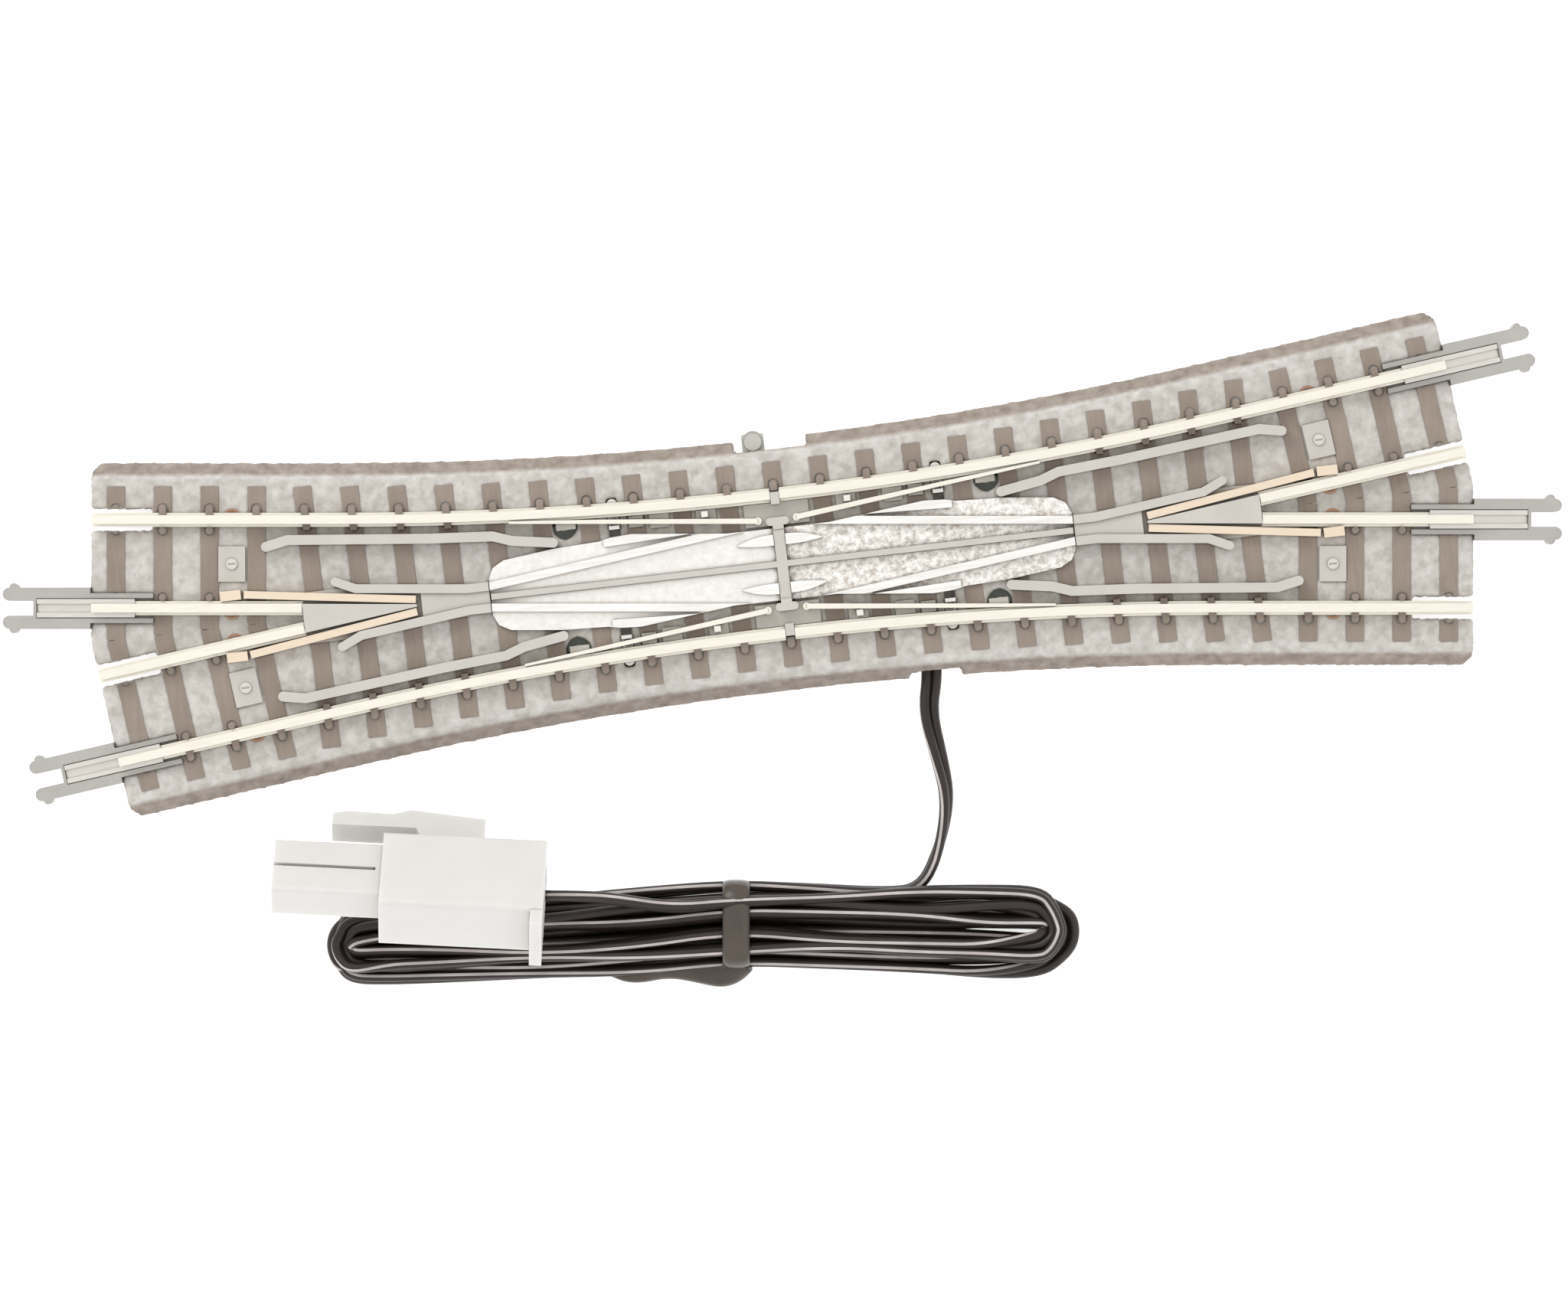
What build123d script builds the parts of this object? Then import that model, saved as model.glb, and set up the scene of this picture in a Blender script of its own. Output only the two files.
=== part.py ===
"""Double slip turnout for 6.5 mm gauge model railways, with its drive, lever, cable and plug.

Frame: origin at the centre of the crossing on the base plane. +X runs along the bisector of the
two tracks, +Y across it on the lever's side, +Z up. Millimetres. Track A falls towards +X,
track B rises towards +X.
"""

import os
from math import asin, cos, radians, sin, tan

from build123d import *

os.makedirs("parts", exist_ok=True)

# Track plan
GAUGE = 6.5
HEAD_W = 0.72
CROSSING = 13.0  # angle between the two tracks, degrees
TRACK_LENGTH = 112.8
STOCK_R = 315.0  # the outer rails' curve past the middle
SLEEPER_PITCH = 3.83
END_SLEEPER_IN = 1.93  # last sleeper, from the rail end
SLEEPER_W = 1.45
SLEEPER_OUT = 2.73  # sleeper end past the outer rail's centre
BED_OUT = 4.57  # foot of the ballast past the outer rail's centre
SHOULDER = 1.3
RAIL_GAP = 0.39  # half the insulated gap in each outer rail
CHAIR_W = 0.56  # the sleepers' chairs beside the rails, round at the tip
CHAIR_OUT = 1.2
CHAIR_RIM = 0.16  # groove round each chair
TAB_OUT = 0.85
STUD_IN = 0.86
FOOT_CLEAR = 0.02
CHECK_W = 0.8
WING_W = 0.72
STRIP_W = 0.62
PEEP_R = 1.1  # round openings over the circuit boards
RING_R = 0.72

# Levels
Z_COVER = 0.6
Z_CAVITY = 2.6
Z_DECK = 3.6
Z_MAT_WEB = 3.7  # webs that join the sleepers
Z_SLEEPER = 3.85
Z_FOOT = 4.1
Z_CHAIR = 4.4
Z_TOP = 5.35
Z_FLOOR = 4.35  # floor of the castings' flangeways

# Rail section
FOOT_W = 1.15
WEB_W = 0.28
HEAD_H = 0.55

# Base and end features
WALL_IN = 2.6  # cavity wall, from the ballast's foot
END_IN = 6.4  # solid ends
COVER_CLEAR = 0.15
SLOT_L = 5.0
SLOT_W = 2.0
CLIP_W = 2.45
HOUSING_W = 3.4  # the clip past the ballast
ARM_W = 1.1
HOOK_R = 0.35
JOINER_W = 1.5
ARM_OUT = 7.3
HOUSING_OUT = 4.8

# Drive
TRAVEL = 3.0
THROW = 0.5
POST_U = 13.3
HEEL_U = 1.6
PIN_R = 0.16
PIN_CLEAR = 0.05
PIVOT_CLEAR = 0.04
LEVER_U = -2.2
LEVER_W = 1.85
BLADE_PIN_R = 0.22
CAM_PIN_R = 0.4
YOKE_W = 0.86
WINDOW = 1.1  # the posts' openings through the deck
PLATE_Z = (0.9, 1.5)
YOKE_Z = (1.6, 2.3)

# Cord: a flat twin cord, lying on the ground
CORD_W = 1.8
CORD_T = 0.9
CORD_Z = 0.46
LAY = 6.52  # the hank lies this far round from the bisector, degrees
HANK_H = 3.6
TIE_T = 0.45

# Plug
PLUG_L, PLUG_W, PLUG_T = 13.3, 7.3, 5.8
TUBE_L, TUBE_W, TUBE_T = 8.8, 5.2, 3.5
TUBE_Y, TUBE_Z = 0.4, 0.3  # the tubes' axis from the body's
SOCKET_W, SOCKET_T, SOCKET_PITCH = 1.5, 1.9, 2.5
PLUG_TILT = 38.0
PLUG_SINK = 0.5

HALF = radians(CROSSING / 2)
END = TRACK_LENGTH / 2
OFF = (GAUGE + HEAD_W) / 2
SLOPE = tan(HALF)
GAUGE_V = (GAUGE / 2) / cos(HALF)  # the gauge line's height at the middle
RAIL_V = OFF / cos(HALF)
ARC_V = RAIL_V + STOCK_R / cos(HALF)


def track(side, s, off):
    """The point s along and off to the left of track A (side -1), B (1) or the bisector (0)."""
    turn = side * HALF
    return (s * cos(turn) - off * sin(turn), s * sin(turn) + off * cos(turn))


def prisms(outlines, z0, z1, mode=Mode.ADD):
    """Upright prisms on plan outlines."""
    with BuildSketch(Plane.XY.offset(z0)) as plan:
        for points in outlines:
            with BuildLine():
                Polyline(*points, close=True)
            make_face()
    extrude(plan.sketch, amount=z1 - z0, mode=mode)


def prism(points, z0, z1, mode=Mode.ADD):
    prisms([points], z0, z1, mode)


def box(u0, u1, v0, v1):
    return [(u0, v0), (u1, v0), (u1, v1), (u0, v1)]


def block(u0, u1, v0, v1, z0, z1, mode=Mode.ADD):
    prism(box(u0, u1, v0, v1), z0, z1, mode)


def tile(side, s0, s1, o0, o1):
    """A rectangle square to a track, from s0 to s1 along it and o0 to o1 across it."""
    return [track(side, s, o) for s, o in ((s0, o0), (s1, o0), (s1, o1), (s0, o1))]


def bar(side, s0, s1, o0, o1, z0, z1, mode=Mode.ADD):
    prism(tile(side, s0, s1, o0, o1), z0, z1, mode)


def rods(places, r, z0, z1, mode=Mode.ADD):
    with Locations(*[(u, v, (z0 + z1) / 2) for u, v in places]):
        Cylinder(r, z1 - z0, mode=mode)


def rod(u, v, r, z0, z1, mode=Mode.ADD):
    rods([(u, v)], r, z0, z1, mode)


def fingers(spots, width, reach, z0, z1, mode=Mode.ADD):
    """Round-tipped blocks across a track: side, place along, offset and way out of each."""
    long = reach - width / 2
    outlines = [tile(t, s - width / 2, s + width / 2, *sorted((o, o + w * long)))
                for t, s, o, w in spots]
    prisms(outlines, z0, z1, mode)
    rods([track(t, s, o + w * long) for t, s, o, w in spots], width / 2, z0, z1, mode)


def ribbon(points, width):
    """The outline of a strip of this width on a bent centre line."""
    line = [Vector(*p) for p in points]
    steps = [(b - a).normalized() for a, b in zip(line, line[1:])]
    left, right = [], []
    for i, p in enumerate(line):
        before, after = steps[max(i - 1, 0)], steps[min(i, len(steps) - 1)]
        across = (before + after).normalized()
        across = Vector(-across.Y, across.X) / max(0.3, across.dot(before))
        left.append(tuple(p + across * (width / 2))[:2])
        right.append(tuple(p - across * (width / 2))[:2])
    return left + right[::-1]


def arc_point(d, angle):
    """A point on the outer rail's curve, d outside its centre line."""
    r = STOCK_R - d
    return (r * sin(angle), ARC_V - r * cos(angle))


def stock_strip(d0, d1, s_end, cut, z0, z1, mode=Mode.ADD):
    """A strip along the upper left outer rail, from d0 to d1 outside its centre line."""
    with BuildSketch(Plane.XY.offset(z0)) as plan:
        with BuildLine():
            stops = []
            for d in (d1, d0):
                last = asin(-cut / (STOCK_R - d))
                stops.append(
                    (
                        track(-1, s_end, OFF + d),
                        arc_point(d, -HALF),
                        arc_point(d, (last - HALF) / 2),
                        arc_point(d, last),
                    )
                )
            a, b = stops
            Line(a[0], a[1])
            ThreePointArc(a[1], a[2], a[3])
            Line(a[3], b[3])
            ThreePointArc(b[3], b[2], b[1])
            Line(b[1], b[0])
            Line(b[0], a[0])
        make_face()
    extrude(plan.sketch, amount=z1 - z0, mode=mode)


def bed(d, end_in, z0, z1, mode=Mode.ADD):
    """The whole base's outline, d outside the outer rails and end_in short of the rail ends."""
    s = END - end_in
    with BuildSketch(Plane.XY.offset(z0)) as plan:
        with BuildLine():
            tip = s / cos(HALF)
            left, right = track(-1, -s, OFF + d), track(1, s, OFF + d)
            one, two = arc_point(d, -HALF), arc_point(d, HALF)
            top = arc_point(d, 0)
            Line((-tip, 0), left)
            Line(left, one)
            ThreePointArc(one, top, two)
            Line(two, right)
            Line(right, (tip, 0))
            Line((tip, 0), (right[0], -right[1]))
            Line((right[0], -right[1]), (two[0], -two[1]))
            ThreePointArc((two[0], -two[1]), (top[0], -top[1]), (one[0], -one[1]))
            Line((one[0], -one[1]), (left[0], -left[1]))
            Line((left[0], -left[1]), (-tip, 0))
        make_face()
    extrude(plan.sketch, amount=z1 - z0, mode=mode)


def save(name, part):
    part.label = name
    export_step(part, f"parts/{name}.step")


def quarters(stem, part):
    """Writes the upper left piece and its images in the other quarters."""
    save(f"{stem}_upper_left", part)
    save(f"{stem}_upper_right", mirror(part, about=Plane.YZ))
    save(f"{stem}_lower_left", mirror(part, about=Plane.XZ))
    save(f"{stem}_lower_right", part.rotate(Axis.Z, 180))


def all_quarters(points):
    return [(p * x, q * y) for x, y in points for p in (-1, 1) for q in (-1, 1)]


def blade_face(u):
    """The gauge line of the upper left blade."""
    return GAUGE_V - SLOPE * u


# Places used by more than one piece
HEEL = (-HEEL_U, blade_face(-HEEL_U) + 0.22)
DRIVE_V = blade_face(-POST_U) + 0.17
BOSSES = all_quarters([(40.0, 7.5)])
SELECTORS = [track(side, end * 45.0, 0) for side in (-1, 1) for end in (-1, 1)]
FEEDERS = [
    track(side, end * 45.0, q * (OFF + 0.2))
    for side in (-1, 1)
    for end in (-1, 1)
    for q in (-1, 1)
]
PEEPS = all_quarters([(17.35, 5.0)])
# Each track end has a joiner on the rail to the left as one looks outwards, and a bare rail.
JOINED = [(-1, -1, -1), (1, -1, -1), (-1, 1, 1), (1, 1, 1)]
BARE = [(-1, -1, 1), (1, -1, 1), (-1, 1, -1), (1, 1, -1)]
JOINER_NAMES = ("upper_left", "lower_left", "lower_right", "upper_right")


def end_cuts(z0, z1):
    """The slots at the rail ends, cut right through."""
    outlines = []
    for spots, width in ((JOINED, CLIP_W), (BARE, SLOT_W)):
        for side, end, q in spots:
            s0, s1 = sorted((end * (END - SLOT_L), end * (END + 3)))
            outlines.append(tile(side, s0, s1, q * OFF - width / 2, q * OFF + width / 2))
    prisms(outlines, z0, z1, Mode.SUBTRACT)


def throw_cuts(z0, z1):
    """The slots that the throw yokes' posts reach up through."""
    spans = ((3.6, 7.0), (-7.0, -3.6))
    wide = WINDOW / 2
    outlines = [box(u - wide, u + wide, *v) for u in (-POST_U, POST_U) for v in spans]
    prisms(outlines, z0, z1, Mode.SUBTRACT)


# Roadbed
with BuildPart() as roadbed:
    bed(BED_OUT, 0, 0, Z_DECK)
    corners = roadbed.edges().filter_by(Axis.Z).filter_by(lambda e: abs(e.center().Y) > 12)
    chamfer(corners, 0.7)
    sides = roadbed.faces().sort_by(Axis.Z)[-1].edges()
    chamfer(sides.filter_by(lambda e: e.length > 20 and abs(e.center().Y) > 9), SHOULDER)
    bed(BED_OUT - WALL_IN, END_IN, 0, Z_CAVITY, Mode.SUBTRACT)
    rods(BOSSES, 1.5, Z_COVER, Z_CAVITY)
    rods(BOSSES, 0.5, Z_COVER, Z_CAVITY + 0.4, Mode.SUBTRACT)
    end_cuts(0, Z_DECK)
    throw_cuts(Z_CAVITY, Z_DECK)
    # lever notch in the shoulder, and the slot for its arm through the wall
    block(-2.95, 3.1, 9.3, 12, 0, Z_DECK, Mode.SUBTRACT)
    block(LEVER_U - 0.15, LEVER_U + LEVER_W + TRAVEL + 0.15, 7, 12, 0.8, 1.6, Mode.SUBTRACT)
    # cable notch
    block(9.3, 13.7, -12, -9.95, 0, Z_DECK, Mode.SUBTRACT)
    block(9.85, 12.65, -12, -7, 0, 1.7, Mode.SUBTRACT)
    rods(PEEPS, PEEP_R, Z_CAVITY, Z_DECK, Mode.SUBTRACT)
    rods(SELECTORS, 0.33, Z_CAVITY, Z_DECK, Mode.SUBTRACT)
save("roadbed", roadbed.part)

# Sleepers: one moulded mat on the deck, with the chairs beside the rails and a web under them
with BuildPart() as sleepers:
    outside, inside, studs, outlines, web = [], [], [], [], []
    for i in range(-10, 11):
        u = i * SLEEPER_PITCH
        rail = arc_point(0, asin(u / STOCK_R))[1]
        if abs(u) > STOCK_R * sin(HALF):
            rail = RAIL_V + SLOPE * abs(u)
        v = rail + SLEEPER_OUT
        outlines.append(box(u - SLEEPER_W / 2, u + SLEEPER_W / 2, -v, v))
        web.append((u, rail))
        outside += [(0, u, q * rail, q) for q in (-1, 1)]
        if abs(i) > 6:
            inside += [(0, u, q * rail, -q) for q in (-1, 1)]
    for side in (-1, 1):
        for end in (-1, 1):
            outer = side * end
            for i in range(4):
                s = end * (END - END_SLEEPER_IN - i * SLEEPER_PITCH)
                reach = -outer * abs(s) * tan(HALF)
                o0, o1 = sorted((outer * (OFF + SLEEPER_OUT), reach))
                outlines.append(tile(side, s - SLEEPER_W / 2, s + SLEEPER_W / 2, o0, o1))
                outside.append((side, s, outer * OFF, outer))
                if i < 3:
                    studs += [track(side, s, q * (OFF - STUD_IN)) for q in (-1, 1)]
    prisms(outlines, Z_DECK, Z_SLEEPER)
    ends = [track(-1, -END + END_SLEEPER_IN, OFF)], [track(1, END - END_SLEEPER_IN, OFF)]
    web = ribbon(ends[0] + web + ends[1], FOOT_W - 0.2)
    webs = [web, [(u, -v) for u, v in web]]
    for side in (-1, 1):
        for end in (-1, 1):
            s0, s1 = sorted((end * (END - END_SLEEPER_IN - q * SLEEPER_PITCH) for q in (0, 1)))
            for off in (5.4, 0.6, -5.2):
                mid = side * end * off
                webs.append(tile(side, s0, s1, mid - 0.4, mid + 0.4))
    for u, v in all_quarters([(POST_U, 7.45)]):
        webs.append(box(u - 2.2, u + 2.2, v - 0.25, v + 0.25))
    prisms(webs, Z_DECK, Z_MAT_WEB)
    rim = CHAIR_W + 2 * CHAIR_RIM
    fingers(outside, rim, CHAIR_OUT + CHAIR_RIM, Z_MAT_WEB, Z_SLEEPER, Mode.SUBTRACT)
    rods(studs, rim / 2, Z_MAT_WEB, Z_SLEEPER, Mode.SUBTRACT)
    fingers(outside, CHAIR_W, CHAIR_OUT, Z_DECK, Z_SLEEPER)
    for past, z0, z1 in (
        (FOOT_W / 2 + FOOT_CLEAR, Z_SLEEPER, Z_FOOT + FOOT_CLEAR),
        (HEAD_W / 2, Z_FOOT + FOOT_CLEAR, Z_CHAIR),
    ):
        beside = [(t, s, o + w * past, w) for t, s, o, w in outside]
        fingers(beside, CHAIR_W, CHAIR_OUT - past, z0, z1)
        tabs = [
            tile(t, s - CHAIR_W / 2, s + CHAIR_W / 2, *sorted((o + w * past, o + w * TAB_OUT)))
            for t, s, o, w in inside
        ]
        prisms(tabs, z0, z1)
    rods(studs, CHAIR_W / 2, Z_DECK, Z_CHAIR)
    end_cuts(Z_DECK, Z_TOP)
    throw_cuts(Z_DECK, Z_TOP)
    rods(PEEPS, PEEP_R, Z_DECK, Z_TOP, Mode.SUBTRACT)
    rods(SELECTORS, 0.33, Z_DECK, Z_TOP, Mode.SUBTRACT)
save("sleepers", sleepers.part)

# Bottom cover and its screws
with BuildPart() as bottom_cover:
    bed(BED_OUT - WALL_IN - COVER_CLEAR, END_IN + COVER_CLEAR, 0, Z_COVER)
    rods(BOSSES, 0.5, 0, Z_COVER, Mode.SUBTRACT)
    rods(BOSSES, 1.0, 0, 0.35, Mode.SUBTRACT)
    block(9.85, 12.65, -12, -7, 0, Z_COVER, Mode.SUBTRACT)
save("bottom_cover", bottom_cover.part)

with BuildPart() as cover_screws:
    for u, v in BOSSES:
        rod(u, v, 0.95, 0.05, 0.35)
        rod(u, v, 0.45, 0.35, Z_CAVITY)
        block(u - 0.6, u + 0.6, v - 0.12, v + 0.12, 0, 0.2, Mode.SUBTRACT)
save("cover_screws", cover_screws.part)

# Outer rails, each side split at the middle
with BuildPart() as stock_rail:
    stock_strip(-FOOT_W / 2, FOOT_W / 2, -END, RAIL_GAP, Z_SLEEPER, Z_FOOT)
    stock_strip(-WEB_W / 2, WEB_W / 2, -END, RAIL_GAP, Z_FOOT, Z_TOP - HEAD_H)
    stock_strip(-HEAD_W / 2, HEAD_W / 2, -END, RAIL_GAP, Z_TOP - HEAD_H, Z_TOP)
quarters("stock_rail", stock_rail.part)

# Inner rails, from each end to the point of the frog
LEAD_U = -39.35
lead_s = (LEAD_U + OFF * sin(HALF)) / cos(HALF)
with BuildPart() as lead_rail:
    for width, z0, z1 in (
        (FOOT_W, Z_SLEEPER, Z_FOOT),
        (WEB_W, Z_FOOT, Z_TOP - HEAD_H),
        (HEAD_W, Z_TOP - HEAD_H, Z_TOP),
    ):
        bar(-1, -END, lead_s, -OFF - width / 2, -OFF + width / 2, z0, z1)
quarters("lead_rail", lead_rail.part)

# Bronze strips that feed the wheels through the frog, and the stubs beyond them
STRIP = [(-43.95, 2.47), (-30.04, 0.5)]
with BuildPart() as contact_strips:
    strip = ribbon(STRIP, STRIP_W)
    images = [[(p * u, q * v) for u, v in strip] for p in (-1, 1) for q in (-1, 1)]
    prisms(images, Z_FOOT, Z_TOP - 0.2)
save("contact_strips", contact_strips.part)

with BuildPart() as contact_stubs:
    for u, v in all_quarters([(45.05, 2.52)]):
        block(u - 0.85, u + 0.85, v - 0.4, v + 0.4, Z_SLEEPER, Z_TOP - 0.3)
save("contact_stubs", contact_stubs.part)

# Plastic frogs with their wing rails
WING = [(-36.43, 2.67), (-34.8, 1.92), (-25.77, 0.88), (-24.02, 0.89)]
with BuildPart() as frog:
    prism(
        [(-39.3, 2.1), (-36, 2.1), (-30, 1.6), (-24.02, 1.2)]
        + [(-24.02, -1.2), (-30, -1.6), (-36, -2.1), (-39.3, -2.1)],
        Z_SLEEPER,
        Z_FOOT,
    )
    prism([(-39.3, 1.19), (-30, 0.1), (-30, -0.1), (-39.3, -1.19)], Z_FOOT, Z_TOP)
    prism([(-29.6, 1.1), (-24.02, 0.8), (-24.02, -0.8), (-29.6, -1.1)], Z_FOOT, Z_TOP - 0.35)
    for flip in (1, -1):
        strip = [(u, v * flip) for u, v in ribbon(STRIP, STRIP_W)]
        prism(strip, Z_SLEEPER, Z_FOOT)
        prism([(u, v * flip) for u, v in ribbon(WING, WING_W)], Z_SLEEPER, Z_TOP)
        rod(WING[0][0], WING[0][1] * flip, WING_W / 2, Z_SLEEPER, Z_TOP)
save("frog_insert_left", frog.part)
save("frog_insert_right", mirror(frog.part, about=Plane.YZ))

# Check rails
CHECK = [(-41.7, 6.15), (-39.9, 6.5), (-28.4, 5.3), (-23.25, 4.9), (-21.7, 4.35), (-18.4, 3.83)]
with BuildPart() as check_rail:
    prism(ribbon(CHECK, CHECK_W), Z_SLEEPER, Z_TOP)
    rods([CHECK[0], CHECK[-1]], CHECK_W / 2, Z_SLEEPER, Z_TOP)
quarters("check_rail", check_rail.part)

# Metal castings: flangeway floors with the fixed rails of the slip standing up from them
CAST = [
    (-23.94, 0.28),
    (-23.94, 1.51),
    (-23.55, 2.35),
    (-22.6, 2.87),
    (-18.5, 3.33),
    (-14.7, 3.5),
    (-13.67, 3.7),
    (-11.98, 3.8),
    (-4.2, 2.95),
    (-0.49, 2.95),
    (-0.49, 0.28),
]
with BuildPart() as casting:
    rise = SLOPE
    v0, v1 = GAUGE_V - rise * 25, GAUGE_V
    prism([(-25, v0), (0, v1), (0, v1 + 0.65), (-25, v0 + 0.65)], Z_SLEEPER, Z_TOP)
    prism(
        [(-14.3, GAUGE_V - rise * 14.3 + 1.35), (-2, GAUGE_V + 0.2), (-2, 5), (-14.3, 5)],
        Z_SLEEPER,
        Z_TOP,
    )
    with BuildSketch(Plane.XY.offset(Z_SLEEPER)) as island:
        with BuildLine():
            ThreePointArc((-3.57, 1.8), (-2.1, 2.28), (-0.49, 2.43))
            Line((-0.49, 2.43), (-0.49, 1.55))
            ThreePointArc((-0.49, 1.55), (-2.1, 1.6), (-3.57, 1.8))
        make_face()
    extrude(amount=Z_TOP - Z_SLEEPER)
    prism(CAST, Z_SLEEPER, Z_TOP, Mode.INTERSECT)
    prism(CAST, Z_SLEEPER, Z_FLOOR)
quarters("crossing_casting", casting.part)

# Insulating cross between the castings
with BuildPart() as centre_insulator:
    block(-23.9, 23.9, -0.25, 0.25, Z_SLEEPER, Z_TOP - 0.15)
    block(-0.45, 0.45, -3.1, 3.1, Z_SLEEPER, Z_TOP - 0.15)
    with BuildSketch(Plane.XY.offset(Z_FOOT)) as knuckle:
        with Locations((0, 3.5), (0, -3.5)):
            SlotOverall(1.9, 0.66)
        for v in (-3.1, 3.1):
            with Locations((0, v)):
                Rectangle(0.9, 0.5)
    extrude(amount=Z_TOP - Z_FOOT)
save("centre_insulator", centre_insulator.part)

# Heel blocks under the blades' heels, filling the gap in the outer rails
with BuildPart() as heel_block:
    block(-2.65, 2.65, 3.2, 5.05, Z_SLEEPER, Z_FOOT)
    block(-RAIL_GAP + 0.03, RAIL_GAP - 0.03, 4.9, 5.9, Z_SLEEPER, Z_TOP - 0.05)
    for u in (-1, 1):
        rod(u * HEEL[0], HEEL[1], PIN_R, Z_SLEEPER, Z_FOOT, Mode.SUBTRACT)
save("heel_block_upper", heel_block.part)
save("heel_block_lower", mirror(heel_block.part, about=Plane.XZ))

with BuildPart() as heel_pins:
    for u, v in all_quarters([(HEEL_U, HEEL[1])]):
        rod(u, v, PIN_R, Z_SLEEPER, Z_TOP - 0.5)
save("heel_pins", heel_pins.part)

# Slide pads under the blades and the posts that stop them when closed
with BuildPart() as slide_pads:
    for i, (v0, v1) in ((1, (3.95, 5.1)), (2, (4.1, 5.2)), (3, (4.35, 5.25)), (4, (4.75, 5.45))):
        for p in (-1, 1):
            for q in (-1, 1):
                u, w = p * (i + 0.5) * SLEEPER_PITCH, 0.8
                if i == 3:
                    u, w = p * 11.49, 0.6
                v = sorted((q * v0, q * v1))
                block(u - w, u + w, v[0], v[1], Z_DECK if i != 3 else Z_SLEEPER, Z_FOOT)
    for u, v in PEEPS:
        rod(u, v + (0.35 if v > 0 else -0.35), PEEP_R * 0.6, Z_CAVITY, Z_DECK)
save("slide_pads", slide_pads.part)

STOP_U = 5.85
stop_v = blade_face(-STOP_U) + 0.5
with BuildPart() as blade_stops:
    for u, v in all_quarters([(STOP_U, stop_v + 0.27)]):
        block(u - 0.27, u + 0.27, v - 0.22, v + 0.27, Z_FOOT, Z_TOP - 0.15)
save("blade_stops", blade_stops.part)

# Blades: hinged at the heel, closed against the outer rail
TIP_U = -21.8
with BuildPart() as blade:
    prism(
        [
            (-HEEL_U, blade_face(-HEEL_U)),
            (TIP_U, blade_face(TIP_U)),
            (TIP_U, blade_face(TIP_U) + 0.2),
            (-15, blade_face(-15) + 0.34),
            (-HEEL_U, blade_face(-HEEL_U) + 0.44),
        ],
        Z_FOOT + 0.05,
        Z_TOP - 0.05,
    )
    rod(*HEEL, 2 * PIN_R, Z_FOOT + 0.05, Z_TOP - 0.3)
    rod(*HEEL, PIN_R + PIVOT_CLEAR, Z_FOOT + 0.05, Z_TOP - 0.45, Mode.SUBTRACT)
    rod(-POST_U, DRIVE_V, BLADE_PIN_R, 3.2, Z_FOOT + 0.3)
quarters("point_blade", blade.part)

# Throw yokes under the deck: each moves one side's two blades
with BuildPart() as yoke:
    block(-13.75, 13.75, 3.3, 4.6, *YOKE_Z)
    for u in (-POST_U, POST_U):
        block(u - YOKE_W / 2, u + YOKE_W / 2, 4.34, 6.85 - YOKE_W / 2, YOKE_Z[0], 3.72)
        rod(u, 6.85 - YOKE_W / 2, YOKE_W / 2, YOKE_Z[0], 3.72)
        block(u - YOKE_W / 2, u + YOKE_W / 2, 4.34, 4.64, 3.72, Z_TOP - 0.5)
        with BuildSketch(Plane.XY.offset(3.1)) as pin_slot:
            with Locations((u, DRIVE_V)):
                hole = 2 * (BLADE_PIN_R + PIN_CLEAR)
                SlotOverall(hole + 0.2, hole)
        extrude(amount=1.0, mode=Mode.SUBTRACT)
    for u in (-6.0, 6.0):
        rod(u, 3.8, CAM_PIN_R, PLATE_Z[0] + 0.05, YOKE_Z[1])
save("throw_yoke_upper", yoke.part)
save("throw_yoke_lower", mirror(yoke.part, about=Plane.XZ))

# Slide bar: cam slots for the yokes, an arm for the lever, and two arms that hold the magnet
with BuildPart() as slide_bar:
    block(-10.3, 9.0, -5.0, 5.0, *PLATE_Z)
    block(LEVER_U, LEVER_U + LEVER_W, 4.9, 10.9, *PLATE_Z)
    for v0, v1 in ((1.6, 2.2), (-2.2, -1.6)):
        block(8.9, 16.2, v0, v1, PLATE_Z[0], 1.9)
    for u in (-6.0, 6.0):
        for q in (-1, 1):
            ends = [(u + 0.12, q * (3.8 + 0.02)), (u - TRAVEL - 0.12, q * (3.8 - THROW - 0.02))]
            width = 2 * (CAM_PIN_R + PIN_CLEAR)
            prism(ribbon(ends, width), *PLATE_Z, Mode.SUBTRACT)
            for end in ends:
                rod(*end, width / 2, *PLATE_Z, Mode.SUBTRACT)
save("slide_bar", slide_bar.part)

with BuildPart() as manual_lever:
    mid = LEVER_U + LEVER_W / 2
    block(LEVER_U, LEVER_U + LEVER_W, 9.4, 10.2, PLATE_Z[1], 2.5)
    rod(mid, 10.2, LEVER_W / 2, PLATE_Z[1], 2.5)
    rod(mid, 10.2, 0.72, 2.5, 2.8)
save("manual_lever", manual_lever.part)

with BuildPart() as drive_magnet:
    block(13.05, 16.05, -1.6, 1.6, PLATE_Z[0], 1.9)
save("drive_magnet", drive_magnet.part)

with BuildPart() as keeper_plate:
    block(12.1, 12.9, -1.3, 1.3, Z_COVER, 1.95)
save("keeper_plate", keeper_plate.part)

# Coil beside the slide
with BuildPart() as pole_core:
    block(19.2, 33.2, -1.0, 1.0, 1.1, 1.7)
    block(33.2, 34.0, -1.6, 1.6, Z_COVER, 2.1)
save("pole_core", pole_core.part)

with BuildPart() as coil_bobbin:
    block(19.3, 33.1, -1.3, 1.3, 0.85, 1.95)
    for u in (19.3, 32.5):
        block(u, u + 0.6, -2.6, 2.6, Z_COVER, 2.15)
    block(19.3, 33.2, -1.0, 1.0, 1.1, 1.7, Mode.SUBTRACT)
save("coil_bobbin", coil_bobbin.part)

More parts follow.
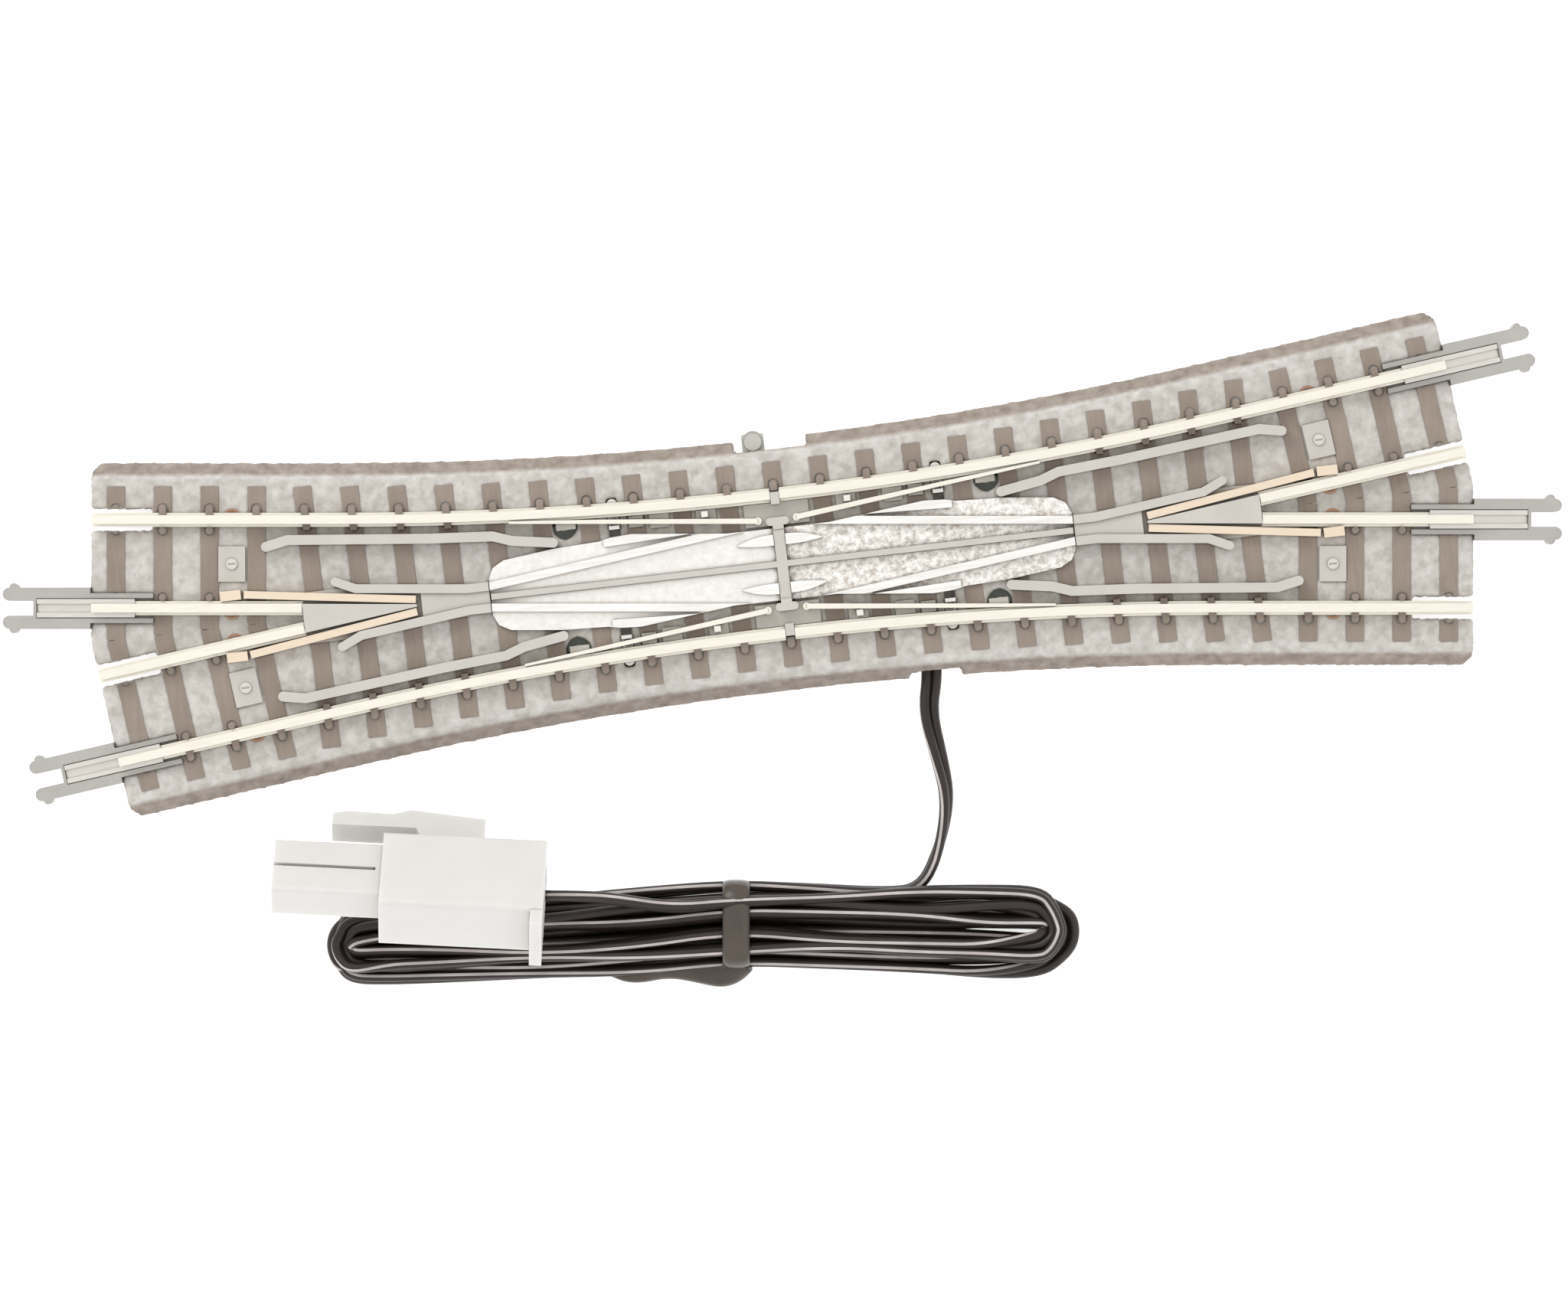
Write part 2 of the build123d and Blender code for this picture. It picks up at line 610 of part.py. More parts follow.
with BuildPart() as coil_winding:
    block(19.9, 32.5, -2.3, 2.3, 0.65, 2.1)
    block(19.9, 32.5, -1.3, 1.3, 0.85, 1.95, Mode.SUBTRACT)
save("coil_winding", coil_winding.part)

# Circuit boards under the deck, one at each end
with BuildPart() as board:
    block(15.6, 47.0, -5.2, 5.2, Z_CAVITY - 0.4, Z_CAVITY)
save("circuit_board_right", board.part)
save("circuit_board_left", mirror(board.part, about=Plane.YZ))

# Selector screws with their plates, and the feeder rivets
with BuildPart() as selector_plates:
    for side in (-1, 1):
        for end in (-1, 1):
            s = end * 45.0
            bar(side, s - 1.1, s + 1.1, -1.45, 1.45, Z_SLEEPER, Z_SLEEPER + 0.15)
    for u, v in SELECTORS:
        rod(u, v, 0.33, Z_SLEEPER, Z_FOOT, Mode.SUBTRACT)
save("selector_plates", selector_plates.part)

with BuildPart() as selector_screws:
    for u, v in SELECTORS:
        rod(u, v, 0.3, Z_CAVITY, Z_SLEEPER + 0.15)
        rod(u, v, 0.45, Z_SLEEPER + 0.15, Z_SLEEPER + 0.35)
        block(u - 0.3, u + 0.3, v - 0.07, v + 0.07, Z_SLEEPER + 0.25, Z_TOP, Mode.SUBTRACT)
save("selector_screws", selector_screws.part)

with BuildPart() as feeder_rings:
    for u, v in FEEDERS:
        rod(u, v, RING_R, Z_MAT_WEB, Z_SLEEPER)
        rod(u, v, RING_R - 0.2, Z_MAT_WEB, Z_SLEEPER, Mode.SUBTRACT)
save("feeder_rings", feeder_rings.part)

# Joiners and their clips, one at each track end
def beyond(end, a, b):
    """Places along a track, a and b outside its rail end."""
    return sorted((end * (END + a), end * (END + b)))


with BuildPart() as rail_joiners:
    for side, end, q in JOINED:
        mid, reach = q * OFF, beyond(end, -3.5, 4.5)
        bar(side, *reach, mid - JOINER_W / 2, mid + JOINER_W / 2, Z_DECK, Z_SLEEPER)
        for p in (-1, 1):
            lo, hi = sorted((mid + p * JOINER_W / 2, mid + p * (FOOT_W / 2 + 0.02)))
            bar(side, *reach, lo, hi, Z_DECK, Z_FOOT + 0.25)
            lo, hi = sorted((mid + p * JOINER_W / 2, mid + p * HEAD_W / 2))
            bar(side, *reach, lo, hi, Z_FOOT + 0.02, Z_FOOT + 0.25)
save("rail_joiners", rail_joiners.part)

CLIP_Z = (1.8, Z_FOOT + 0.2)
CLIP_WALL = 0.4
w = CLIP_W / 2
wide = HOUSING_W / 2
for name, (side, end, q) in zip(JOINER_NAMES, JOINED):
    mid = q * OFF
    with BuildPart() as clip:
        bar(side, *beyond(end, -SLOT_L, 0.15), mid - w, mid + w, CLIP_Z[0], Z_DECK)
        bar(side, *beyond(end, 0.15, HOUSING_OUT), mid - wide, mid + wide, CLIP_Z[0], Z_DECK)
        front = beyond(end, HOUSING_OUT - 0.25, HOUSING_OUT)
        bar(side, *front, mid - wide, mid + wide, *CLIP_Z)
        for p in (-1, 1):
            for start, stop, inner, outer in (
                (-SLOT_L, 0.15, w - CLIP_WALL, w),
                (0.15, HOUSING_OUT, w - CLIP_WALL, wide),
                (HOUSING_OUT, ARM_OUT - ARM_W / 2, wide - ARM_W, wide),
            ):
                lo, hi = sorted((mid + p * inner, mid + p * outer))
                bar(side, *beyond(end, start, stop), lo, hi, *CLIP_Z)
            for back, out, r in ((ARM_W / 2, wide - ARM_W / 2, ARM_W / 2), (0.9, wide, HOOK_R)):
                rod(*track(side, end * (END + ARM_OUT - back), mid + p * out), r, *CLIP_Z)
    save(f"joiner_clip_{name}", clip.part)

# Cable clamp in the wall, where the cord leaves
with BuildPart() as cable_clamp:
    block(9.85, 12.65, -9.95, -8.1, 0, 1.7)
    block(10.35, 12.15, -9.95, -8.9, 0, CORD_Z + CORD_T / 2, Mode.SUBTRACT)
save("cable_clamp", cable_clamp.part)


# Cord: lead, hank, tie
def lay(x, y):
    """A point of the hank, which lies at LAY to the bisector."""
    c, s = cos(radians(LAY)), sin(radians(LAY))
    return (c * x + s * y, -s * x + c * y)


ROUTE = [
    (11.25, -8.9),
    (11.25, -10.4),
    (10.45, -13.4),
    (11.0, -17.2),
    (11.35, -20.7),
    (10.2, -24.6),
]
HANK = [
    (-36.0, -28.45),
    (-20, -27.4),
    (-4, -26.45),
    (10, -26.5),
    (20, -26.2),
    (23.2, -27.4),
    (24.0, -30.0),
    (22.8, -32.9),
    (19, -33.7),
    (6, -33.1),
    (-4, -32.5),
    (-16, -33.4),
    (-30, -34.2),
    (-35.6, -34.1),
    (-37.0, -32.6),
    (-37.0, -30.2),
]
route = ROUTE + [lay(11.45, -26.49)]
runs = [(Vector(*b) - Vector(*a)) for a, b in zip(route, route[1:])]
radii = [
    0.45 * min(a.length, b.length) / tan(radians(a.get_angle(b)) / 2)
    for a, b in zip(runs, runs[1:])
]
print("cord radii", [round(r, 3) for r in radii])
with BuildPart() as cable_lead:
    with BuildLine() as lead_line:
        FilletPolyline(*[(u, v, CORD_Z) for u, v in route], radius=radii)
    start = Plane(origin=lead_line.line @ 0, x_dir=(0, 0, 1), z_dir=lead_line.line % 0)
    with BuildSketch(start) as section:
        SlotOverall(CORD_W, CORD_T, rotation=90)
    sweep()
print("lead length", round(sum(e.length for e in lead_line.edges()), 3))

plug_place = (
    Location((*lay(-25.95, -26.7), HANK_H - PLUG_SINK))
    * Location((0, 0, 0), (0, 0, -LAY - 2.8))
    * Location((0, 0, PLUG_W / 2 * sin(radians(PLUG_TILT)) + PLUG_T / 2 * cos(radians(PLUG_TILT))))
    * Location((0, 0, 0), (-PLUG_TILT, 0, 0))
)

with BuildPart() as cable_hank:
    prism([lay(x, y) for x, y in HANK], 0, HANK_H)
    groove = [lay(x, y) for x, y in ((-4.9, -20), (-2.6, -20), (-2.6, -40), (-4.9, -40))]
    prism(groove, 0, TIE_T, Mode.SUBTRACT)
hank = cable_hank.part

with BuildPart() as cable_tie:
    loop = [lay(x, y) for x, y in ((-4.9, -25.9), (-2.6, -25.9), (-2.6, -33.0), (-4.9, -33.0))]
    prism(loop, 0, HANK_H + TIE_T)
    prism([lay(x, y) for x, y in HANK], TIE_T, HANK_H, Mode.SUBTRACT)
save("cable_tie", cable_tie.part)

SOCKETS = [TUBE_Y + q * SOCKET_PITCH / 2 for q in (-1, 1)]
with BuildPart() as plug_housing:
    Box(PLUG_L, PLUG_W, PLUG_T)
    fillet(plug_housing.edges().filter_by(Axis.X), 0.45)
    with BuildSketch(Plane.YZ.offset(-PLUG_L / 2)) as tubes:
        with Locations((TUBE_Y, TUBE_Z)):
            RectangleRounded(TUBE_W, TUBE_T, 0.35)
    extrude(amount=-TUBE_L)
    with Locations((-PLUG_L / 2 - TUBE_L / 2 - 0.5, TUBE_Y, TUBE_Z)):
        Box(TUBE_L, 0.3, TUBE_T, mode=Mode.SUBTRACT)
    with Locations(*[(0, v, TUBE_Z) for v in SOCKETS]):
        Box(PLUG_L + 2 * TUBE_L + 2, SOCKET_W, SOCKET_T, mode=Mode.SUBTRACT)
    with BuildSketch(Plane.XY.offset(-1.2)) as latch:
        with BuildLine():
            Polyline(
                (-PLUG_L / 2 - 4.4, PLUG_W / 2 + 1.7),
                (-PLUG_L / 2 - 4.4, PLUG_W / 2 + 2.8),
                (-PLUG_L / 2 - 3.2, PLUG_W / 2 + 3.1),
                (-PLUG_L / 2 + 0.5, PLUG_W / 2 + 3.0),
                (-PLUG_L / 2 + 2.0, PLUG_W / 2 + 3.5),
                (PLUG_L / 2 - 5.2, PLUG_W / 2 + 2.9),
                (PLUG_L / 2 - 5.2, PLUG_W / 2 - 0.2),
                (-PLUG_L / 2 + 3.5, PLUG_W / 2 - 0.2),
                (-PLUG_L / 2 + 2.5, PLUG_W / 2 + 1.7),
                close=True,
            )
        make_face()
    extrude(amount=2.4)
    with Locations((PLUG_L / 2 - 0.5, -PLUG_W / 2 - 0.6, 0)):
        Box(1.0, 1.4, PLUG_T)
plug = plug_housing.part.moved(plug_place)
save("plug_housing", plug)
save("cable_hank", hank - plug)
save("cable_lead", cable_lead.part - hank)

with BuildPart() as plug_terminals:
    for v in SOCKETS:
        with Locations((-PLUG_L / 2 - TUBE_L / 2 + 2.0, v, TUBE_Z)):
            Box(TUBE_L + 2.0, SOCKET_W, 0.5)
            Box(4.0, SOCKET_W, SOCKET_T)
save("plug_terminals", plug_terminals.part.moved(plug_place))
print("written", len(os.listdir("parts")))
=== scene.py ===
"""Looks of the double slip turnout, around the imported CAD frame. Metres, +Z up."""

from math import cos, pi, radians, sin

import bpy
import numpy as np
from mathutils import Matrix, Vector, noise


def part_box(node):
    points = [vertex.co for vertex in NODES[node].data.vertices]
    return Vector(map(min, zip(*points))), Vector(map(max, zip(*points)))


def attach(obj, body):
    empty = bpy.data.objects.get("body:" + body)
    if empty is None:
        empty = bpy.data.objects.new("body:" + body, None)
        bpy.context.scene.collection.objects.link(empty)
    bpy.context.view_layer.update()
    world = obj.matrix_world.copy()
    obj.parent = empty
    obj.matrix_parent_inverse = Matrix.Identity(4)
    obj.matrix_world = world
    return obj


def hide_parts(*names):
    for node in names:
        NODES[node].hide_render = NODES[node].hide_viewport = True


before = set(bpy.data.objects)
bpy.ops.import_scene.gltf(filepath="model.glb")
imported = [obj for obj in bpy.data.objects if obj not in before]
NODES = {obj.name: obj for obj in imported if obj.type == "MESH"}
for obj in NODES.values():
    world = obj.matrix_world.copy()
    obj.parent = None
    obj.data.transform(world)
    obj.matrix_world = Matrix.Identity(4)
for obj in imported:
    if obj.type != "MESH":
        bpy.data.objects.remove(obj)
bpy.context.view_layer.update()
MM = 0.001
LAY = radians(6.52)  # the hank lies this far round from the tracks' bisector
RAIL_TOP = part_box("stock_rail_upper_left")[1][2]
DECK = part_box("roadbed")[1][2]
QUARTERS = ("upper_left", "upper_right", "lower_left", "lower_right")


def lay(x, y, z=0.0):
    """A point of the hank's own axes, given in millimetres."""
    return Vector(
        (cos(LAY) * x + sin(LAY) * y, cos(LAY) * y - sin(LAY) * x, z)
    ) * MM


# ---------------------------------------------------------------- materials
def srgb(r, g, b):
    """A linear colour from 0 to 255 display values."""

    def linear(c):
        c /= 255
        return c / 12.92 if c <= 0.04045 else ((c + 0.055) / 1.055) ** 2.4

    return (linear(r), linear(g), linear(b), 1.0)


class Surface:
    """A material on one Principled shader, with short calls for its textures."""

    def __init__(self, name, roughness=0.5, metallic=0.0, **sockets):
        self.material = bpy.data.materials.new(name)
        self.material.use_nodes = True
        self.tree = self.material.node_tree
        self.shader = self.tree.nodes["Principled BSDF"]
        self.set(Roughness=roughness, Metallic=metallic, **sockets)
        self.coordinates = self.tree.nodes.new("ShaderNodeTexCoord").outputs["Object"]

    def set(self, **sockets):
        for name, value in sockets.items():
            self.shader.inputs[name.replace("_", " ")].default_value = value
        return self

    def node(self, kind, inputs=(), **settings):
        made = self.tree.nodes.new("ShaderNode" + kind)
        for name, value in settings.items():
            setattr(made, name, value)
        for name, value in dict(inputs).items():
            if isinstance(value, bpy.types.NodeSocket):
                self.tree.links.new(value, made.inputs[name])
            else:
                made.inputs[name].default_value = value
        return made

    def stretched(self, turn=0.0, scale=(1, 1, 1)):
        """Coordinates turned about Z, then scaled, for grain along a direction."""
        inputs = {"Vector": self.coordinates, "Rotation": (0, 0, turn), "Scale": scale}
        return self.node("Mapping", inputs).outputs["Vector"]

    def noise(self, size, detail=3.0, rough=0.55, at=None):
        """Noise whose features are about size metres across."""
        inputs = {"Vector": at or self.coordinates, "Scale": 1 / size, "Detail": detail}
        return self.node("TexNoise", inputs | {"Roughness": rough}).outputs["Fac"]

    def stones(self, size):
        """Cells about size metres across, each with a colour of its own."""
        inputs = {"Vector": self.coordinates, "Scale": 1 / size}
        return self.node("TexVoronoi", inputs, feature="F1")

    def ramp(self, value, *stops):
        ramp = self.node("ValToRGB", {"Fac": value})
        bar = ramp.color_ramp.elements
        while len(bar) < len(stops):
            bar.new(0.5)
        for element, (place, colour) in zip(bar, stops):
            element.position = place
            element.color = colour if len(colour) == 4 else (*colour, 1.0)
        return ramp.outputs["Color"]

    def mix(self, fac, a, b, blend="MIX"):
        made = self.node("MixRGB", {"Fac": fac, "Color1": a, "Color2": b}, blend_type=blend)
        return made.outputs["Color"]

    def math(self, operation, a, b=0.0):
        return self.node("Math", {0: a, 1: b}, operation=operation).outputs[0]

    def height(self, axis="Z"):
        split = self.node("SeparateXYZ", {"Vector": self.coordinates})
        return split.outputs[axis]

    def colour(self, value, painted_shade=0.55, reach=0.35 * MM):
        """Sets the colour, with painted shade darkening it in corners and along the foot of
        every step.
        """
        # Ambient occlusion finds the corners; the darkening there is painted shade.
        shut = self.node("AmbientOcclusion", {"Distance": reach}, samples=8)
        dark = (1 - painted_shade, 1 - painted_shade * 1.03, 1 - painted_shade * 1.07)
        corner = self.ramp(shut.outputs["AO"], (0.35, dark), (0.85, (1, 1, 1)))
        corner.node.color_ramp.interpolation = "EASE"
        shaded = self.mix(1.0, value, corner, "MULTIPLY")
        self.tree.links.new(shaded, self.shader.inputs["Base Color"])
        return self

    def rough(self, value, low, high):
        scaled = self.math("MULTIPLY_ADD", value, high - low)
        scaled.node.inputs[2].default_value = low
        self.tree.links.new(scaled, self.shader.inputs["Roughness"])
        return self

    def bump(self, value, depth, strength=1.0):
        """Relief of this depth in metres."""
        inputs = {"Height": value, "Distance": depth, "Strength": strength}
        made = self.node("Bump", inputs)
        earlier = self.shader.inputs["Normal"].links
        if earlier:
            self.tree.links.new(earlier[0].from_socket, made.inputs["Normal"])
        self.tree.links.new(made.outputs["Normal"], self.shader.inputs["Normal"])
        return self


def plastic(name, base, rough, mottle, **sockets):
    """Moulded plastic: faint mottling, a fine satin grain."""
    s = Surface(name, rough, **sockets)
    dark = tuple(c * (1 - 2.2 * mottle) for c in base[:3]) + (1.0,)
    s.colour(s.ramp(s.noise(0.0024, 4), (0.35, dark), (0.65, base)))
    s.rough(s.noise(0.0012, 3), rough - 0.08, rough + 0.1)
    return s.bump(s.noise(0.0006, 3), 0.00002, 0.5)


def metal(name, base, rough, turn, streak):
    """Drawn or milled metal: fine streaks along turn, a few pits."""
    s = Surface(name, rough, 1.0)
    along = s.stretched(-turn, (0.06, 1.0, 1.0))
    lines = s.noise(0.00012, 4, 0.7, at=along)
    dark = tuple(c * (1 - streak) for c in base[:3]) + (1.0,)
    s.colour(s.mix(s.noise(0.003, 3), s.ramp(lines, (0.3, dark), (0.7, base)), base))
    s.rough(lines, rough - 0.08, rough + 0.14)
    return s.bump(lines, 0.00001, 0.4).bump(s.noise(0.0004, 3), 0.00003, 0.25)


def ballast_surface():
    """Moulded ballast: pale mottled stones, browner on the shoulders."""
    s = Surface("moulded_ballast", 0.8)
    s.set(Specular_IOR_Level=0.2)
    tint = s.ramp(
        s.stones(0.0006).outputs["Color"],
        (0.1, srgb(182, 177, 171)),
        (0.5, srgb(196, 192, 186)),
        (0.9, srgb(209, 206, 201)),
    )
    tones = (0.36, srgb(175, 169, 162)), (0.64, srgb(208, 205, 199))
    patch = s.ramp(s.noise(0.0008, 5), *tones)
    body = s.mix(0.62, tint, patch)
    level = s.math("MULTIPLY", s.height(), 1 / DECK)
    side = s.ramp(s.noise(0.0009, 4), (0.3, srgb(132, 121, 112)), (0.7, srgb(163, 153, 144)))
    rim = s.ramp(level, (0.9, (1, 1, 1)), (0.995, (0, 0, 0)))
    # Painted shade in the ballast's corners, 0.45 deep.
    s.colour(s.mix(rim, body, side), 0.45)
    s.bump(s.noise(0.0006, 4), 0.0001, 0.5)
    return s.bump(s.noise(0.0002, 3), 0.00004, 0.5).material


def sleeper_surface():
    """Brown-grey sleepers with a faint wood grain across the track."""
    s = Surface("sleeper_plastic", 0.62)
    grain = s.noise(0.00022, 4, 0.6, at=s.stretched(0, (1.0, 0.08, 1.0)))
    base = s.ramp(grain, (0.3, srgb(132, 118, 107)), (0.7, srgb(151, 137, 126)))
    patch = s.ramp(s.noise(0.004, 3), (0.35, srgb(134, 121, 110)), (0.65, srgb(155, 142, 131)))
    # Strong painted shade, 0.9 deep within 0.32 mm, along the sleepers' corners.
    s.colour(s.mix(0.5, base, patch), 0.9, 0.32 * MM)
    return s.bump(grain, 0.00003, 0.5).bump(s.noise(0.0005, 3), 0.00003, 0.3).material


def casting_metal(name, grain, dark):
    """Bright castings, whose flangeway floors are coarser than the rails on them."""
    s = Surface(name, 0.34, 1.0)
    coarse = s.noise(0.00045, 5, 0.7)
    along = s.noise(0.0003, 3, 0.5, at=s.stretched(radians(-3), (0.05, 1.0, 1.0)))
    rail = s.ramp(along, (0.3, srgb(236, 232, 226)), (0.7, srgb(254, 253, 250)))
    floor_tone = s.ramp(coarse, (0.36, dark), (0.6, srgb(248, 246, 242)))
    low = s.math("LESS_THAN", s.height(), RAIL_TOP - 0.3 * MM)
    # Painted shade in the castings' corners, 0.6 deep within 0.5 mm.
    s.colour(s.mix(low, rail, floor_tone), 0.6, 0.5 * MM)
    s.rough(coarse, 0.26, 0.5)
    relief = s.math("MULTIPLY", coarse, low)
    return s.bump(relief, grain, 0.8).bump(along, 0.00001, 0.3).material


def cord_surface(name, base, rough):
    """Soft vinyl, a little paler where it has been handled."""
    s = Surface(name, rough, Coat_Weight=0.2, Coat_Roughness=0.25, Specular_IOR_Level=0.35)
    worn = tuple(min(1, c * 1.5) for c in base[:3])
    s.colour(s.ramp(s.noise(0.003, 3), (0.3, base), (0.75, worn)))
    s.rough(s.noise(0.0008, 3), rough - 0.08, rough + 0.12)
    return s.bump(s.noise(0.0009, 3), 0.00003, 0.4).material


TURN = radians(6.5)  # half the angle between the two tracks
RAIL_METAL = {
    track: metal(f"rail_metal_{track}", srgb(247, 242, 229), 0.34, turn, 0.1).material
    for track, turn in (("a", -TURN), ("b", TURN))
}
BRONZE = metal("spring_bronze", srgb(240, 222, 200), 0.36, TURN, 0.12).material
STEEL = metal("plated_steel", srgb(226, 222, 214), 0.3, 0.0, 0.2).material
COPPER = metal("copper", srgb(176, 136, 112), 0.4, 0.3, 0.2).material
PALE = plastic("pale_grey_plastic", srgb(196, 191, 183), 0.48, 0.03).material
WHITE = plastic("white_plastic", srgb(226, 223, 217), 0.42, 0.02).material
LEVER = plastic(
    "lever_plastic", srgb(186, 186, 178), 0.4, 0.03, Coat_Weight=0.3
).material
CLIP = plastic(
    "clip_plastic", srgb(190, 187, 181), 0.38, 0.03, Transmission_Weight=0.25, IOR=1.45
).material
PLUG = plastic(
    "plug_nylon",
    srgb(215, 213, 209),
    0.34,
    0.015,
    Subsurface_Weight=0.3,
    Subsurface_Scale=0.001,
    Subsurface_Radius=(1.0, 1.0, 1.0),
).material
COVER = plastic("cover_plastic", srgb(70, 70, 70), 0.5, 0.06).material
BOARD = plastic("board_lacquer", srgb(112, 124, 104), 0.32, 0.1, Coat_Weight=0.4).material
CORD = cord_surface("cord_black", srgb(34, 26, 22), 0.42)
# The pale line on one core: partly a stripe, partly painted highlight.
STRIPE_AND_HIGHLIGHT = cord_surface("cord_stripe_and_highlight", srgb(168, 161, 158), 0.45)
TIE = cord_surface("tie_black", srgb(66, 58, 51), 0.27)
CAST = {
    "left": casting_metal("casting_smooth", 0.00002, srgb(238, 234, 228)),
    "right": casting_metal("casting_granular", 0.00014, srgb(188, 180, 170)),
}


def wear(node, material):
    """Gives a CAD node this one material."""
    slots = NODES[node].data.materials
    slots.clear()
    slots.append(material)


for quarter in QUARTERS:
    track = "a" if quarter in ("upper_left", "lower_right") else "b"
    for kind in ("stock_rail", "lead_rail", "point_blade"):
        wear(f"{kind}_{quarter}", RAIL_METAL[track])
    wear(f"check_rail_{quarter}", PALE)
    wear(f"crossing_casting_{quarter}", CAST[quarter.split("_")[1]])
    wear(f"joiner_clip_{quarter}", CLIP)
for names, material in (
    (("contact_strips", "contact_stubs", "plug_terminals"), BRONZE),
    (("frog_insert_left", "frog_insert_right", "centre_insulator", "cable_clamp"), PALE),
    (("heel_block_upper", "heel_block_lower", "slide_pads", "selector_plates"), PALE),
    (("heel_pins", "cover_screws", "selector_screws", "rail_joiners"), STEEL),
    (("keeper_plate", "pole_core", "drive_magnet"), STEEL),
    (("blade_stops", "throw_yoke_upper", "throw_yoke_lower", "coil_bobbin"), WHITE),
    (("slide_bar",), WHITE),
    (("manual_lever",), LEVER),
    (("feeder_rings", "coil_winding"), COPPER),
    (("circuit_board_left", "circuit_board_right"), BOARD),
    (("bottom_cover",), COVER),
    (("plug_housing",), PLUG),
    (("sleepers",), sleeper_surface()),
    (("roadbed",), ballast_surface()),
):
    for node in names:
        wear(node, material)


# ---------------------------------------------------------------- mesh helpers
def mesh_piece(name, points, faces, materials, smooth=True):
    mesh = bpy.data.meshes.new(name)
    mesh.from_pydata([tuple(p) for p in points], [], faces)
    for material in materials:
        mesh.materials.append(material)
    mesh.polygons.foreach_set("use_smooth", [smooth] * len(mesh.polygons))
    mesh.validate()
    piece = bpy.data.objects.new(name, mesh)
    bpy.context.scene.collection.objects.link(piece)
    return piece


def spline_points(name, controls, per_span):
    """Points along the quadratic NURBS curve of these control points."""
    curve = bpy.data.curves.new(name, "CURVE")
    curve.dimensions = "3D"
    line = curve.splines.new("NURBS")
    line.points.add(len(controls) - 1)
    for point, place in zip(line.points, controls):
        point.co = (*place, 1.0)
    line.order_u = 3
    line.use_endpoint_u = True
    line.resolution_u = per_span
    holder = bpy.data.objects.new(name, curve)
    mesh = bpy.data.meshes.new_from_object(holder)
    points = [v.co.copy() for v in mesh.vertices]
    bpy.data.objects.remove(holder)
    bpy.data.meshes.remove(mesh)
    return points


def tube(rings):
    """Points and faces of a closed tube through equal rings of points."""
    n = len(rings[0])
    points = [p for ring in rings for p in ring]
    faces = []
    for i in range(len(rings) - 1):
        for j in range(n):
            k = (j + 1) % n
            faces.append((i * n + j, i * n + k, (i + 1) * n + k, (i + 1) * n + j))
    faces.append(tuple(reversed(range(n))))
    faces.append(tuple(range((len(rings) - 1) * n, len(rings) * n)))
    return points, faces


# ---------------------------------------------------------------- cord
CORE = 0.43 * MM  # radius of one core; the cord is two side by side
LEAD = (
    (11.25, -8.9, 0.46),
    (11.25, -10.4, 0.46),
    (10.45, -13.4, 0.6),
    (11.0, -17.2, 0.8),
    (11.35, -20.7, 0.92),
    (10.2, -24.6, 0.95),
)
LANES = (3.25, 2.3, 1.38, 0.46, 0.95, 1.9, 2.8)  # each turn's reach from the hank's middle
LAYERS = (0.92, 0.92, 0.92, 0.92, 2.6, 2.6, 2.6)
FLOOR_LAYER = 1.0  # turns lower than this lie on the floor
PLUG_EDGE = -17.0  # the plug lies on the hank this side
# place along the hank, its middle line and how far its lanes spread, in millimetres
OUTLINE = (
    (-37, -31.35, 0.84),
    (-28, -31.1, 0.88),
    (-16, -30.45, 0.95),
    (-4, -29.45, 0.9),
    (6, -29.75, 0.97),
    (15, -29.95, 1.06),
    (20, -29.9, 1.08),
    (24.5, -30.1, 0.98),
)


def hank_point(x, lane, z):
    """A point x along the hank in this lane. The upper layer lies less neatly."""
    xs, middles, spreads = zip(*OUTLINE)
    middle = float(np.interp(x, xs, middles))
    spread = float(np.interp(x, xs, spreads))
    wander = 0.14 * sin(0.21 * x + 2.3 * lane + 1.7 * z) + 0.06 * sin(0.47 * x - 3.1 * lane)
    upper = z > FLOOR_LAYER
    if upper:
        wander *= 2.2
    lift = 0.1 * sin(0.17 * x + 1.9 * lane) if upper else 0.0
    under_plug = 0.32 if upper and x < PLUG_EDGE else 0.0
    return lay(x, middle + spread * lane + wander, z + lift - under_plug)


def cord_controls():
    """The lead's points, then the hank's turns, then the way up to the plug."""
    controls = [Vector(place) * MM for place in LEAD]
    controls += [lay(11.45, -26.6, 0.95), lay(8.6, -27.0, 0.92)]
    for turn, (lane, z) in enumerate(zip(LANES[:-1], LAYERS)):
        following, rise = LANES[turn + 1], LAYERS[turn + 1]
        inside = LANES[0] - lane
        left = -36.6 + 0.35 * inside + 0.35 * sin(5.0 * turn)
        right = 23.7 - 0.75 * inside + 0.25 * sin(3.0 * turn)
        bend, fold = 0.9 + 1.1 * lane, 0.8 + 0.55 * lane
        for x in (2.0, -4.0, -12.0, -20.0, -28.0, left + fold + 1.2):
            if turn or x < 8:
                controls.append(hank_point(x, lane, z))
        for angle in (55, 28, 0, -28, -55):
            x = left + fold * (1 - cos(radians(angle)))
            controls.append(hank_point(x, 1.12 * lane * sin(radians(angle)), z))
        for x in (left + fold + 1.2, -28.0, -20.0, -12.0, -4.0, 4.0, 11.0, 16.5):
            controls.append(hank_point(x, -lane, z))
        for angle in (-65, -40, -14, 14, 40, 65):
            share = (angle + 90) / 180
            reach = lane * (1 - share) + following * share
            x = right - bend * (1 - cos(radians(angle)))
            swing = 1.06 * reach * sin(radians(angle))
            controls.append(hank_point(x, swing, z + (rise - z) * share))
        for x in (16.5, 11.0):
            controls.append(hank_point(x, following, rise))
    controls += [hank_point(4.0, 2.6, 2.8), hank_point(-4.0, 1.7, 3.15)]
    controls += [lay(-9.0, -28.2, 3.7), lay(-14.0, -27.3, 4.6), lay(-17.0, -27.1, 5.6)]
    controls.append(lay(-19.6, -27.05, 5.9))
    return controls


LEFT_FOLD, RIGHT_FOLD = -31, 14  # the hank folds beyond these places along it
ON_EDGE_AFTER = 17 * MM


